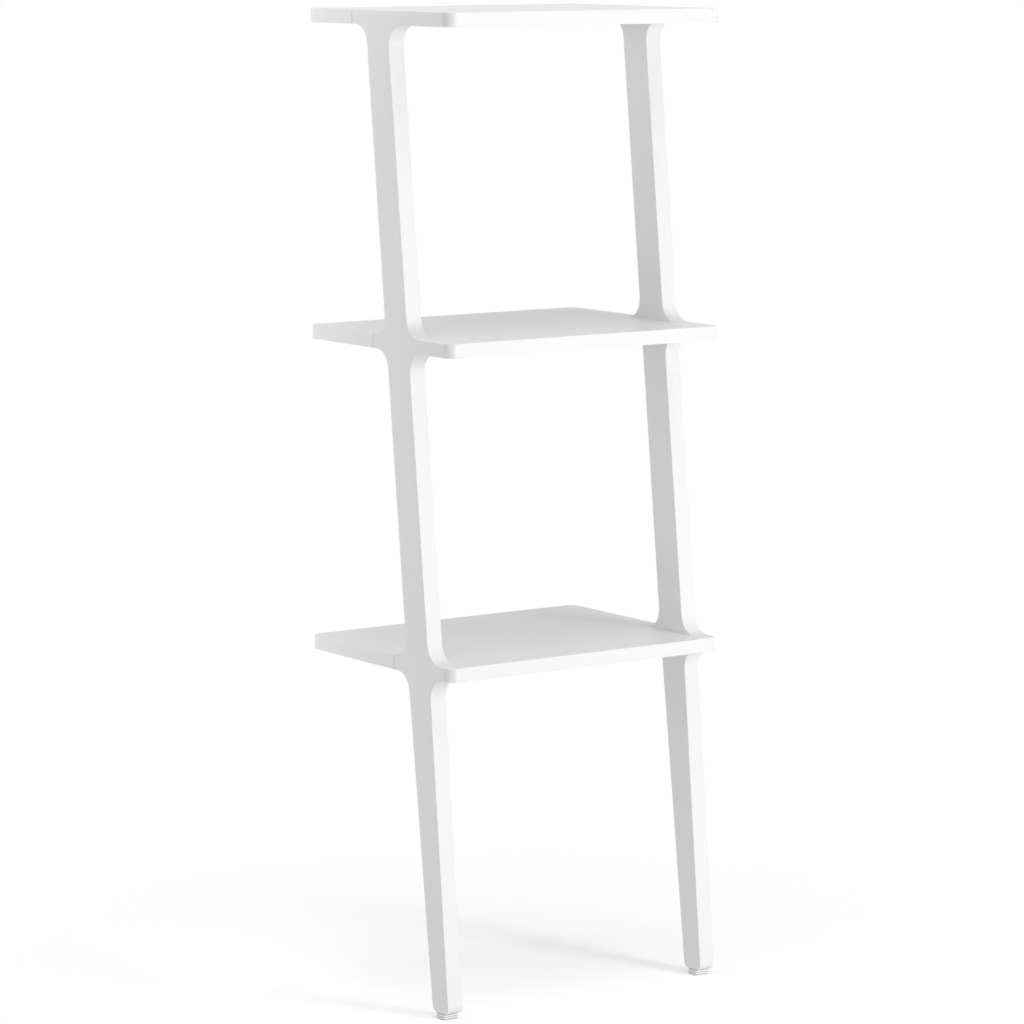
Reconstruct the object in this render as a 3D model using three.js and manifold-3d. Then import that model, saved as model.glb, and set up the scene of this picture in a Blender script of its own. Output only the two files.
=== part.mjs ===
// Leaning ladder shelf: two flat side frames, three shelves notched into them, and the hardware
// that joins the pieces, lifts the legs off the floor and ties the top shelf to the wall.
//
// Millimetres. X runs along the width, -Y is the front, +Z is up. The wall is the plane Y = 0.
// The origin is the middle of the top shelf's back edge, where that edge rests on the wall.

import * as THREE from 'three';
import { mergeVertices } from 'three/addons/utils/BufferGeometryUtils.js';
import Module from 'manifold-3d';

const wasm = await Module();
wasm.setup();

// ---- driving dimensions --------------------------------------------------------------------

const OVERALL_HEIGHT = 1556;
const SHELF_WIDTH = 520;
const SHELF_DEPTH = 398;
const SHELF_THICKNESS = 22;
const SHELF_PITCH = 500;
const SHELF_CORNER_RADIUS = 18;

const FRAME_THICKNESS = 28;
const LEG_DEPTH = 60.5;
const LEG_LEAN_DEG = 6.37;
const LEG_END_DEPTH = 43;
const LEG_END_SETBACK = 4.6;
const LEG_END_RADIUS = 12;
const ARM_REACH_BEHIND_LEG = 36;
const ARM_FILLET_RADIUS = 32;

const JOINT_GAP = 0.3;
const REAR_SEAM_GAP = 0.6;

const DOWEL = { radius: 4, length: 30, chamfer: 1, inFrame: 11.5 };
const CAM = { radius: 7.5, height: 15, recess: 0.4, fromJoint: 34, boreRadius: 3.8 };
const BOLT = { threadRadius: 3.2, threadLength: 11, shankRadius: 3.3, neckRadius: 2.3 };
const FRONT_DOWEL_SHARE = 0.35;
const REAR_DOWEL_FROM_ARM_END = 18;

// The glide's layers from the floor up are full size and set in by turns: lip, groove, rib, groove,
// rib and neck.
const GLIDE = {
  depth: 23, setback: 17, cornerRadius: 4, layers: [1, 1, 2.5, 1, 2.7, 1],
  setIn: 4.5, coreCornerRadius: 2.5,
};
const GLIDE_SCREW = { headRadius: 3.5, headHeight: 2.4, shankRadius: 1.7, length: 28, lift: 1.6 };

const PLATE = { length: 46, height: 18, thickness: 1.6, fromMiddle: 180, sink: 0.2 };
const KEYHOLE = { entryRadius: 4.4, slotRadius: 2.3, travel: 7, pocketDepth: 11 };
const PLATE_SCREW = {
  headRadius: 2.9, headHeight: 1.5, shankRadius: 1.4, length: 16, spacing: 32, sink: 0.1,
};

const ROUND_SIDES = 16;
const ARC_DIVISIONS = 4;

// ---- places worked out from them -----------------------------------------------------------

const HALF_WIDTH = SHELF_WIDTH / 2;
const JOINT_X = HALF_WIDTH - FRAME_THICKNESS;
const FRONT_Y = -SHELF_DEPTH;
const TOP_Z = SHELF_THICKNESS / 2;
const FLOOR_Z = TOP_Z - OVERALL_HEIGHT;
const GLIDE_HEIGHT = GLIDE.layers.reduce((sum, height) => sum + height, 0);
const LEG_END_Z = FLOOR_Z + GLIDE_HEIGHT + JOINT_GAP;
const LEAN = Math.tan(THREE.MathUtils.degToRad(LEG_LEAN_DEG));

const LEVELS = ['top', 'middle', 'bottom'].map((name, row) => {
  const topZ = TOP_Z - row * SHELF_PITCH;
  return { name, topZ, middleZ: topZ - SHELF_THICKNESS / 2, underZ: topZ - SHELF_THICKNESS };
});
const LOWEST = LEVELS[LEVELS.length - 1];
const SIDES = [{ name: 'left', sign: -1 }, { name: 'right', sign: 1 }];

// Where the leg's front edge (edge -1), centre line (0) or rear edge (1) lies at a height. The leg
// keeps its depth down to the lowest shelf and narrows from there to its end.
function legY(z, edge) {
  const upper = (height) => -SHELF_DEPTH / 2 - (TOP_Z - height) * LEAN + edge * LEG_DEPTH / 2;
  if (z >= LOWEST.topZ) {
    return upper(z);
  }
  const end = FRONT_Y + LEG_END_SETBACK + (1 + edge) * LEG_END_DEPTH / 2;
  const share = (LOWEST.topZ - z) / (LOWEST.topZ - LEG_END_Z);
  return THREE.MathUtils.lerp(upper(LOWEST.topZ), end, share);
}

const armEndY = (level) => legY(level.topZ, 1) + ARM_REACH_BEHIND_LEG;

// ---- shapes and solids ---------------------------------------------------------------------

// A closed outline through [x, y, radius] corners. A corner with a radius is a tangent arc.
function outline(corners) {
  const shape = new THREE.Shape();
  const point = (index) => {
    const [x, y] = corners[(index + corners.length) % corners.length];
    return new THREE.Vector2(x, y);
  };
  corners.forEach(([, , radius = 0], index) => {
    const corner = point(index);
    const back = point(index - 1).sub(corner).normalize();
    const ahead = point(index + 1).sub(corner).normalize();
    const half = Math.acos(back.dot(ahead)) / 2;
    const tangent = radius / Math.tan(half);
    const start = corner.clone().addScaledVector(back, tangent);
    if (index === 0) {
      shape.moveTo(start.x, start.y);
    } else {
      shape.lineTo(start.x, start.y);
    }
    if (radius > 0) {
      const inward = back.clone().add(ahead).normalize();
      const centre = corner.clone().addScaledVector(inward, radius / Math.sin(half));
      const end = corner.clone().addScaledVector(ahead, tangent).sub(centre);
      const turnsRight = back.cross(ahead) > 0;
      shape.absarc(centre.x, centre.y, radius, start.sub(centre).angle(), end.angle(), turnsRight);
    }
  });
  return shape;
}

const rectangle = (width, height, radius = 0) => outline([
  [-width / 2, -height / 2, radius],
  [width / 2, -height / 2, radius],
  [width / 2, height / 2, radius],
  [-width / 2, height / 2, radius],
]);

function extruded(shape, depth) {
  return new THREE.ExtrudeGeometry(shape, {
    depth,
    bevelEnabled: false,
    curveSegments: ARC_DIVISIONS,
  });
}

// Extrusions along +Z (outline in X, Y), +X (outline in Y, Z) and -Y (outline in X, Z).
const UP = new THREE.Matrix4();
const ALONG_X = new THREE.Matrix4().set(0, 0, 1, 0, 1, 0, 0, 0, 0, 1, 0, 0, 0, 0, 0, 1);
const FORWARD = new THREE.Matrix4().set(1, 0, 0, 0, 0, 0, -1, 0, 0, 1, 0, 0, 0, 0, 0, 1);

function prism(shape, depth, direction, x, y, z) {
  return extruded(shape, depth).applyMatrix4(direction).translate(x, y, z);
}

function box(width, depth, height, x, y, z) {
  return new THREE.BoxGeometry(width, depth, height).translate(x, y, z);
}

// A turned solid from a [radius, distance] profile. Its axis is +Z.
function turned(profile) {
  const points = profile.map(([radius, distance]) => new THREE.Vector2(radius, distance));
  return new THREE.LatheGeometry(points, ROUND_SIDES).rotateX(Math.PI / 2);
}

const cylinder = (radius, length) => turned([[0, 0], [radius, 0], [radius, length], [0, length]]);

// The same, pointing along X towards the middle (from the left side) or from it, and along -Y.
const pointedInward = (geometry, sign) => geometry.rotateY(-sign * Math.PI / 2);
const pointedForward = (geometry) => geometry.rotateX(Math.PI / 2);

function toManifold(geometry) {
  const bare = geometry.clone();
  bare.deleteAttribute('normal');
  bare.deleteAttribute('uv');
  const merged = mergeVertices(bare, 1e-4);
  return new wasm.Manifold(new wasm.Mesh({
    numProp: 3,
    vertProperties: new Float32Array(merged.getAttribute('position').array),
    triVerts: new Uint32Array(merged.index.array),
  }));
}

function toGeometry(manifold) {
  const mesh = manifold.getMesh();
  const geometry = new THREE.BufferGeometry();
  geometry.setAttribute('position', new THREE.BufferAttribute(mesh.vertProperties, 3));
  geometry.setIndex(new THREE.BufferAttribute(mesh.triVerts, 1));
  geometry.computeVertexNormals();
  return geometry;
}

function cut(geometry, cutters) {
  const body = cutters.reduce((rest, cutter) => rest.subtract(toManifold(cutter)),
    toManifold(geometry));
  return toGeometry(body);
}

// ---- materials -----------------------------------------------------------------------------

function finish(color, roughness, metalness) {
  return () => new THREE.MeshStandardMaterial({ color, roughness, metalness });
}

const whiteLacquer = finish(0xf0f0ee, 0.45, 0);
const beech = finish(0xc9a06b, 0.8, 0);
const zinc = finish(0xa9abad, 0.45, 1);
const steel = finish(0xb8babd, 0.35, 1);
const whiteNylon = finish(0xe2e2df, 0.6, 0);

const part = new THREE.Group();

function add(name, geometry, material) {
  const mesh = new THREE.Mesh(geometry, material());
  mesh.name = name;
  part.add(mesh);
}

// ---- where the joint fittings sit ----------------------------------------------------------

// The depths of one shelf end's fittings: the cam on the leg's centre line, a dowel either side.
function fittingYs(level) {
  const cam = legY(level.middleZ, 0);
  return {
    cam,
    dowels: {
      front: THREE.MathUtils.lerp(FRONT_Y, cam, FRONT_DOWEL_SHARE),
      rear: armEndY(level) - REAR_DOWEL_FROM_ARM_END,
    },
  };
}

// A bore along X that starts at the joint line and goes outward into a frame or inward into a
// shelf. The start overlaps the joint line so that the mouth is cut clean.
function jointBore(radius, depth, side, y, z, inward) {
  const overlap = 1;
  const start = side.sign * (JOINT_X + (inward ? overlap : -overlap));
  const sign = inward ? side.sign : -side.sign;
  return pointedInward(cylinder(radius, depth + overlap), sign).translate(start, y, z);
}

// ---- side frames ---------------------------------------------------------------------------

// Side view of a frame: down the front of the leg from the top arm, round its end and up the back.
function frameOutline() {
  const front = [];
  const rear = [];
  LEVELS.forEach((level) => {
    const { topZ, underZ } = level;
    const joinsLegAbove = level !== LEVELS[0];
    if (joinsLegAbove) {
      front.push([legY(topZ, -1), topZ, ARM_FILLET_RADIUS]);
      rear.push([legY(topZ, 1), topZ, ARM_FILLET_RADIUS]);
    }
    front.push([FRONT_Y, topZ], [FRONT_Y, underZ]);
    rear.push([armEndY(level), topZ], [armEndY(level), underZ]);
    front.push([legY(underZ, -1), underZ, ARM_FILLET_RADIUS]);
    rear.push([legY(underZ, 1), underZ, ARM_FILLET_RADIUS]);
  });
  front.push([legY(LEG_END_Z, -1), LEG_END_Z, LEG_END_RADIUS]);
  rear.push([legY(LEG_END_Z, 1), LEG_END_Z, LEG_END_RADIUS]);
  return outline([...front, ...rear.reverse()]);
}

// What the shelf's corner rounding takes off the front of an arm, seen from above.
function armCorner(side, level) {
  const margin = 1;
  const radius = SHELF_CORNER_RADIUS;
  const height = SHELF_THICKNESS + 2 * margin;
  const outerX = side.sign * (HALF_WIDTH + margin);
  const roundX = side.sign * (HALF_WIDTH - radius);
  const shape = new THREE.Shape();
  shape.moveTo(outerX, FRONT_Y - margin);
  shape.lineTo(roundX, FRONT_Y - margin);
  shape.lineTo(roundX, FRONT_Y);
  const outward = side.sign > 0 ? 0 : Math.PI;
  shape.absarc(roundX, FRONT_Y + radius, radius, -Math.PI / 2, outward, side.sign < 0);
  shape.lineTo(outerX, FRONT_Y + radius);
  return prism(shape, height, UP, 0, 0, level.underZ - margin);
}

function frameBores(side, level) {
  const { cam, dowels } = fittingYs(level);
  const z = level.middleZ;
  return [
    jointBore(BOLT.threadRadius + JOINT_GAP, BOLT.threadLength + 1, side, cam, z, false),
    ...Object.values(dowels).map((y) => (
      jointBore(DOWEL.radius + JOINT_GAP, DOWEL.inFrame + 1, side, y, z, false))),
  ];
}

function glidePlace(side) {
  const x = side.sign * (HALF_WIDTH - FRAME_THICKNESS / 2);
  const y = FRONT_Y + GLIDE.setback + GLIDE.depth / 2;
  return { x, y };
}

function sideFrame(side) {
  const innerX = side.sign > 0 ? JOINT_X : -HALF_WIDTH;
  const board = prism(frameOutline(), FRAME_THICKNESS, ALONG_X, innerX, 0, 0);
  const { x, y } = glidePlace(side);
  const pilotStart = 3;
  const pilot = cylinder(GLIDE_SCREW.shankRadius + JOINT_GAP, GLIDE_SCREW.length)
    .translate(x, y, LEG_END_Z - pilotStart);
  const cutters = LEVELS.flatMap((level) => [armCorner(side, level), ...frameBores(side, level)]);
  return cut(board, [...cutters, pilot]);
}

// ---- shelves -------------------------------------------------------------------------------

// Seen from above: full width behind the arms, notched between them, round at the back corners.
function shelfOutline(level) {
  const notchX = JOINT_X - JOINT_GAP;
  const notchY = armEndY(level) + REAR_SEAM_GAP;
  return outline([
    [-notchX, FRONT_Y],
    [notchX, FRONT_Y],
    [notchX, notchY],
    [HALF_WIDTH, notchY],
    [HALF_WIDTH, 0, SHELF_CORNER_RADIUS],
    [-HALF_WIDTH, 0, SHELF_CORNER_RADIUS],
    [-HALF_WIDTH, notchY],
    [-notchX, notchY],
  ]);
}

function shelfBores(side, level) {
  const { cam, dowels } = fittingYs(level);
  const z = level.middleZ;
  const inShelf = DOWEL.length - DOWEL.inFrame;
  const pocketHeight = CAM.height + CAM.recess + JOINT_GAP;
  const pocket = cylinder(CAM.radius + JOINT_GAP, pocketHeight + 1)
    .translate(side.sign * (JOINT_X - CAM.fromJoint), cam, level.underZ - 1);
  return [
    pocket,
    jointBore(CAM.boreRadius, CAM.fromJoint, side, cam, z, true),
    ...Object.values(dowels).map((y) => (
      jointBore(DOWEL.radius + JOINT_GAP, inShelf + 1, side, y, z, true))),
  ];
}

// The sunk seat of a wall plate, the room behind its keyhole and the pilots of its two screws.
function plateSeat(side) {
  const x = side.sign * PLATE.fromMiddle;
  const width = PLATE.length + 2 * JOINT_GAP;
  const height = PLATE.height + 2 * JOINT_GAP;
  const depth = PLATE.thickness + PLATE.sink + JOINT_GAP;
  const radius = KEYHOLE.entryRadius + 0.6;
  const room = rectangle(2 * radius, KEYHOLE.travel + 2 * radius, radius - 0.01);
  return [
    prism(rectangle(width, height, height / 2 - 0.01), depth + 1, FORWARD, x, 1, 0),
    prism(room, KEYHOLE.pocketDepth + 1, FORWARD, x, 1, 0),
    ...plateScrewXs(side).map((screwX) => (
      pointedForward(cylinder(PLATE_SCREW.shankRadius + JOINT_GAP, PLATE_SCREW.length + 2))
        .translate(screwX, 0, 0))),
  ];
}

function shelf(level) {
  const board = prism(shelfOutline(level), SHELF_THICKNESS, UP, 0, 0, level.underZ);
  const seats = level === LEVELS[0] ? SIDES.flatMap(plateSeat) : [];
  return cut(board, [...SIDES.flatMap((side) => shelfBores(side, level)), ...seats]);
}

// ---- joint fittings ------------------------------------------------------------------------

function dowel(side, y, z) {
  const { radius, length, chamfer, inFrame } = DOWEL;
  const pin = turned([
    [0, 0],
    [radius - chamfer, 0],
    [radius, chamfer],
    [radius, length - chamfer],
    [radius - chamfer, length],
    [0, length],
  ]);
  return pointedInward(pin, side.sign).translate(side.sign * (JOINT_X + inFrame), y, z);
}

// The bolt is screwed into the frame. Its head, past a thin neck, is held in the cam.
function camBolt(side, y, z) {
  const { threadRadius, threadLength, shankRadius, neckRadius } = BOLT;
  const camFace = threadLength + CAM.fromJoint - CAM.radius;
  const headStart = camFace + 4;
  const headEnd = headStart + 4;
  const bolt = turned([
    [0, 0],
    [threadRadius - 1, 0],
    [threadRadius, 1.5],
    [threadRadius, threadLength],
    [shankRadius, threadLength],
    [shankRadius, camFace - 1],
    [neckRadius, camFace],
    [neckRadius, headStart],
    [shankRadius, headStart + 0.8],
    [shankRadius, headEnd - 0.8],
    [neckRadius, headEnd],
    [0, headEnd],
  ]);
  return pointedInward(bolt, side.sign).translate(side.sign * (JOINT_X + threadLength), y, z);
}

// A round cam, bored from the joint's side for the bolt head, with a cross slot underneath.
function camLock(side, y, level) {
  const x = side.sign * (JOINT_X - CAM.fromJoint);
  const lowest = level.underZ + CAM.recess;
  const slotLength = 9;
  const slotWidth = 1.6;
  const slotDepth = 2.2;
  const bore = pointedInward(cylinder(CAM.boreRadius, CAM.radius + 6), side.sign)
    .translate(x + side.sign * (CAM.radius + 2), y, level.middleZ);
  return cut(cylinder(CAM.radius, CAM.height).translate(x, y, lowest), [
    bore,
    box(slotLength, slotWidth, 2 * slotDepth, x, y, lowest),
    box(slotWidth, slotLength, 2 * slotDepth, x, y, lowest),
  ]);
}

// ---- feet ----------------------------------------------------------------------------------

// A block with round corners, with ribs all the way round and a stepped hole for its screw.
function footGlide(side) {
  const { x, y } = glidePlace(side);
  const { depth, cornerRadius, layers, setIn, coreCornerRadius } = GLIDE;
  const plan = rectangle(FRAME_THICKNESS, depth, cornerRadius);
  const core = rectangle(FRAME_THICKNESS - 2 * setIn, depth - 2 * setIn, coreCornerRadius);
  let z = FLOOR_Z;
  let block = toManifold(prism(core, GLIDE_HEIGHT, UP, x, y, z));
  layers.forEach((height, row) => {
    const isFullSize = row % 2 === 0;
    if (isFullSize) {
      block = block.add(toManifold(prism(plan, height, UP, x, y, z)));
    }
    z += height;
  });
  const headRoom = GLIDE_SCREW.lift + GLIDE_SCREW.headHeight + JOINT_GAP;
  return cut(toGeometry(block), [
    cylinder(GLIDE_SCREW.shankRadius + JOINT_GAP, GLIDE_HEIGHT + 2).translate(x, y, FLOOR_Z - 1),
    cylinder(GLIDE_SCREW.headRadius + JOINT_GAP, headRoom + 1).translate(x, y, FLOOR_Z - 1),
  ]);
}

function glideScrew(side) {
  const { headRadius, headHeight, shankRadius, length, lift } = GLIDE_SCREW;
  const { x, y } = glidePlace(side);
  return turned([
    [0, 0],
    [headRadius, 0],
    [headRadius, 0.6],
    [shankRadius, headHeight],
    [shankRadius, length - 4],
    [0, length],
  ]).translate(x, y, FLOOR_Z + lift);
}

// ---- wall plates ---------------------------------------------------------------------------

function plateScrewXs(side) {
  const x = side.sign * PLATE.fromMiddle;
  return [x - PLATE_SCREW.spacing / 2, x + PLATE_SCREW.spacing / 2];
}

// The entry hole is the lower end of the keyhole: the shelf is lifted over the wall screw's head
// and drops until the shank is at the top of the slot.
function keyholeCutters(x) {
  const { entryRadius, slotRadius, travel } = KEYHOLE;
  const depth = PLATE.thickness + 2;
  const entry = pointedForward(cylinder(entryRadius, depth)).translate(x, 1, -travel / 2);
  const slot = rectangle(2 * slotRadius, travel + 2 * slotRadius, slotRadius - 0.01);
  return [entry, prism(slot, depth, FORWARD, x, 1, 0)];
}

// A countersunk hole that narrows with its screw's head and keeps the joint gap all the way down.
function countersink(screwX) {
  const { headRadius, headHeight, shankRadius, sink } = PLATE_SCREW;
  const slope = (headRadius - shankRadius) / headHeight;
  const over = 1;
  const widest = headRadius + JOINT_GAP + slope * (sink + over);
  const throat = shankRadius + JOINT_GAP;
  const throatDepth = over + sink + headHeight;
  const hole = turned([
    [0, 0],
    [widest, 0],
    [throat, throatDepth],
    [throat, throatDepth + over],
    [0, throatDepth + over],
  ]);
  return pointedForward(hole).translate(screwX, over - PLATE.sink, 0);
}

function wallPlate(side) {
  const x = side.sign * PLATE.fromMiddle;
  const face = rectangle(PLATE.length, PLATE.height, PLATE.height / 2 - 0.01);
  const plate = prism(face, PLATE.thickness, FORWARD, x, -PLATE.sink, 0);
  return cut(plate, [...keyholeCutters(x), ...plateScrewXs(side).map(countersink)]);
}

function plateScrew(screwX) {
  const { headRadius, headHeight, shankRadius, length } = PLATE_SCREW;
  const screw = turned([
    [0, 0],
    [headRadius, 0],
    [shankRadius, headHeight],
    [shankRadius, length - 3],
    [0, length],
  ]);
  return pointedForward(screw).translate(screwX, -PLATE.sink - PLATE_SCREW.sink, 0);
}

// ---- assembly ------------------------------------------------------------------------------

LEVELS.forEach((level) => {
  add(`shelf_${level.name}`, shelf(level), whiteLacquer);
});

SIDES.forEach((side) => {
  add(`side_frame_${side.name}`, sideFrame(side), whiteLacquer);
  add(`foot_glide_${side.name}`, footGlide(side), whiteNylon);
  add(`glide_screw_${side.name}`, glideScrew(side), steel);
  add(`wall_plate_${side.name}`, wallPlate(side), steel);
  plateScrewXs(side).forEach((screwX) => {
    const place = Math.abs(screwX) < PLATE.fromMiddle ? 'inner' : 'outer';
    add(`plate_screw_${side.name}_${place}`, plateScrew(screwX), steel);
  });
  LEVELS.forEach((level) => {
    const { cam, dowels } = fittingYs(level);
    const joint = `${level.name}_${side.name}`;
    add(`cam_bolt_${joint}`, camBolt(side, cam, level.middleZ), steel);
    add(`cam_lock_${joint}`, camLock(side, cam, level), zinc);
    Object.entries(dowels).forEach(([place, y]) => {
      add(`dowel_${joint}_${place}`, dowel(side, y, level.middleZ), beech);
    });
  });
});

export default part;
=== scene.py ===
# %% [markdown]
# # A ladder shelf that leans on the wall
#
# The shelf is a handful of flat boards. Two side frames are each taken to be cut in one piece, as a
# leg with three arms, and three shelves are notched so that an arm fills the notch at either end. The
# boards have a satin white lacquer, and the legs stand on small ribbed glides. What holds the boards
# together can't be seen from outside, so the fittings are a guess: common kinds in likely places.
#
# The solids of the CAD model come in first and never move. Each is then covered by a finer piece: true
# arcs, softened edges and a finish. Lengths are metres, X is the width, -Y the front, +Z up, and the
# wall is the plane Y = 0.

# %% Load the solids
import math

import bmesh
import bpy
from mathutils import Matrix, Vector


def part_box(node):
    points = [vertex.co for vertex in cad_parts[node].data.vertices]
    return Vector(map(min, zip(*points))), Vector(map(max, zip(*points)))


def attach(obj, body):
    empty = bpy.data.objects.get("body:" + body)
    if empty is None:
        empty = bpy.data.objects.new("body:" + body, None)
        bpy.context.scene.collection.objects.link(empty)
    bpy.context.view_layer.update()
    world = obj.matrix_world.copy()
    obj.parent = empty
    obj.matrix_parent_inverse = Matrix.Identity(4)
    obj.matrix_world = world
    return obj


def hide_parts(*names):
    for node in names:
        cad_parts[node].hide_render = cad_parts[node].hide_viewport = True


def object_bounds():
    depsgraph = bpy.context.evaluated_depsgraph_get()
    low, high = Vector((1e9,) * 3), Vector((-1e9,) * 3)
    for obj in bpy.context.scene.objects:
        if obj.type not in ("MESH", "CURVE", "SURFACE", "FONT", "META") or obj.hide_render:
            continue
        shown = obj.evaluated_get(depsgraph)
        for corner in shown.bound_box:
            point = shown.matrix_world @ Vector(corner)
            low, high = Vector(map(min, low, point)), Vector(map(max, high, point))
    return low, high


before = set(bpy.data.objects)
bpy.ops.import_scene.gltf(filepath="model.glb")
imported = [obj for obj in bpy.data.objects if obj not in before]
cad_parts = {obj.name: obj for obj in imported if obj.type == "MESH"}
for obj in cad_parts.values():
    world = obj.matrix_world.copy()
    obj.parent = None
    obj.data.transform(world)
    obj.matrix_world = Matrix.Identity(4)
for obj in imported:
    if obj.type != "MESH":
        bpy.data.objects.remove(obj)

cad_low, cad_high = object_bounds()
print("solids:", len(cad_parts), "size:", [round(side, 4) for side in cad_high - cad_low])

# %% [markdown]
# ## Camera
#
# A tall, thin object looks best through a long lens from far away, because its upright lines then stay
# nearly parallel. The camera stands in front and well to the left, a little above the top shelf's height,
# and looks slightly down, so that all three shelf tops show. It could also be aimed with a Track To
# constraint, but two angles say the same and are easier to read.

# %% Camera
FOCAL_LENGTH = 150.58
SENSOR_WIDTH = 36.0
CAMERA_PLACE = (-3.8850, -5.7493, 0.1655)
CAMERA_TILT = math.radians(81.982)
CAMERA_TURN = math.radians(-34.965)


def put_in_scene(thing):
    """Links a new object to the scene and returns it."""
    bpy.context.scene.collection.objects.link(thing)
    return thing


lens = bpy.data.cameras.new("camera")
lens.lens = FOCAL_LENGTH
lens.sensor_width = SENSOR_WIDTH
camera = put_in_scene(bpy.data.objects.new("camera", lens))
camera.location = CAMERA_PLACE
camera.rotation_euler = (CAMERA_TILT, 0.0, CAMERA_TURN)
bpy.context.scene.camera = camera
bpy.context.scene.view_settings.view_transform = "Standard"
print("camera is", round(camera.location.length, 2), "m from the top shelf's back edge")

# %% [markdown]
# ## Shader sums
#
# A procedural finish is mostly arithmetic: stretch a noise, scale it, add it to a middle value. Written
# as nodes that takes many lines, so a small class wraps a socket and gives it the signs + - * /. A sum
# such as 0.4 + cloud * 0.1 then adds its Math nodes by itself. One more method adds any other node.

# %% A socket that can be used in sums
class Value:
    """A shader socket. Sums with it add Math nodes to the tree that it belongs to."""

    def __init__(self, tree, socket):
        self.tree = tree
        self.socket = socket

    def sum(self, operation, first, second):
        return self.tree.add("Math", {"operation": operation}, {0: first, 1: second})

    def __add__(self, other):
        return self.sum("ADD", self, other)

    def __radd__(self, other):
        return self.sum("ADD", other, self)

    def __sub__(self, other):
        return self.sum("SUBTRACT", self, other)

    def __rsub__(self, other):
        return self.sum("SUBTRACT", other, self)

    def __mul__(self, other):
        return self.sum("MULTIPLY", self, other)

    def __rmul__(self, other):
        return self.sum("MULTIPLY", other, self)

    def __truediv__(self, other):
        return self.sum("DIVIDE", self, other)

    def __rtruediv__(self, other):
        return self.sum("DIVIDE", other, self)


# %% A tree of nodes
class Tree:
    """The node tree of a material or a world."""

    def __init__(self, owner):
        self.owner = owner
        owner.use_nodes = True
        self.nodes = owner.node_tree.nodes
        self.links = owner.node_tree.links
        self.nodes.clear()

    def add(self, kind, settings=None, inputs=None, output=0):
        """Adds a node, sets it, fills or links its sockets, and returns one of its outputs."""
        node = self.nodes.new("ShaderNode" + kind)
        for name, value in (settings or {}).items():
            if name == "stops":
                self.set_stops(node.color_ramp, value)
            else:
                setattr(node, name, value)
        for name, value in (inputs or {}).items():
            if isinstance(value, Value):
                self.links.new(value.socket, node.inputs[name])
            else:
                node.inputs[name].default_value = value
        return Value(self, node.outputs[output]) if node.outputs else node

    def set_stops(self, ramp, stops):
        """Gives a ramp its stops, as (place, grey level) pairs in rising order."""
        while len(ramp.elements) < len(stops):
            ramp.elements.new(1.0)
        for element, (place, level) in zip(ramp.elements, stops):
            element.position = place
            element.color = (level, level, level, 1.0)

    def seen(self):
        """1 for what the camera sees directly, in a reflection or through glass, otherwise 0."""
        camera_ray = self.add("LightPath", output="Is Camera Ray")
        glossy_ray = self.add("LightPath", output="Is Glossy Ray")
        return camera_ray + glossy_ray + self.add("LightPath", output="Is Transmission Ray")


# %% [markdown]
# ## Floor, backdrop and light
#
# The shelf stands in a white studio. The world is plain white to the camera but dimmer as a light, and
# the floor does the same trick: seen directly it is a diffuse white with a little glow, so that it
# reaches white and still keeps a soft shadow, and further away it turns into the white of the backdrop.
# For the light that bounces it is an ordinary white floor. Seen from below the floor is clear, so that
# the undersides can be looked at. A hair's breadth parts it from the feet, and light that leaves a foot's
# underside passes it too, or that underside would look black from below.

# %% World
AMBIENT = 0.471

world = bpy.data.worlds.new("white studio")
bpy.context.scene.world = world
sky = Tree(world)
sky_light = sky.add("Background", inputs={"Color": (1.0, 1.0, 1.0, 1.0),
                                          "Strength": AMBIENT + sky.seen() * (1.0 - AMBIENT)})
sky.add("OutputWorld", inputs={"Surface": sky_light})
print("ambient light:", AMBIENT)

# %% Floor
FLOOR_RADIUS = 60.0
FLOOR_SIDES = 64
FLOOR_WHITE = (0.88, 0.88, 0.88, 1.0)
FLOOR_GLOW = 0.275
FADE_START = 0.35
FADE_LENGTH = 0.6
HAIR = 0.0001
TOUCH_REACH = 3 * HAIR

floor_tree = Tree(bpy.data.materials.new("white floor"))
bouncing = floor_tree.add("BsdfDiffuse", inputs={"Color": FLOOR_WHITE})
glow = floor_tree.add("Emission", inputs={"Strength": FLOOR_GLOW})
near_floor = floor_tree.add("AddShader", inputs={0: bouncing, 1: glow})
far_floor = floor_tree.add("Emission", inputs={"Strength": 1.0})
from_shelf = floor_tree.add("VectorMath", {"operation": "LENGTH"},
                            {0: floor_tree.add("TexCoord", output="Object")}, output="Value")
fade = floor_tree.add("Clamp", inputs={"Value": (from_shelf - FADE_START) / FADE_LENGTH})
shown = floor_tree.add("MixShader", inputs={0: fade, 1: near_floor, 2: far_floor})
upper_side = floor_tree.add("MixShader", inputs={0: floor_tree.seen(), 1: bouncing, 2: shown})
under_side = floor_tree.add("BsdfTransparent")
ray_length = floor_tree.add("LightPath", output="Ray Length")
from_touch = floor_tree.add("Clamp", inputs={"Value": (TOUCH_REACH - ray_length) / HAIR})
is_clear = floor_tree.add("NewGeometry", output="Backfacing") + from_touch
both_sides = floor_tree.add("MixShader", inputs={0: is_clear, 1: upper_side, 2: under_side})
floor_tree.add("OutputMaterial", inputs={"Surface": both_sides})

floor_mesh = bpy.data.meshes.new("floor")
disc = bmesh.new()
bmesh.ops.create_circle(disc, cap_ends=True, radius=FLOOR_RADIUS, segments=FLOOR_SIDES)
disc.to_mesh(floor_mesh)
disc.free()
floor_mesh.materials.append(floor_tree.owner)
floor = put_in_scene(bpy.data.objects.new("floor", floor_mesh))
floor.location = (0.0, (cad_low.y + cad_high.y) / 2, cad_low.z - HAIR)
floor_normal = [round(c, 2) for c in floor_mesh.polygons[0].normal]
print("floor at", round(floor.location.z, 4), "m, normal", floor_normal)

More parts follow.
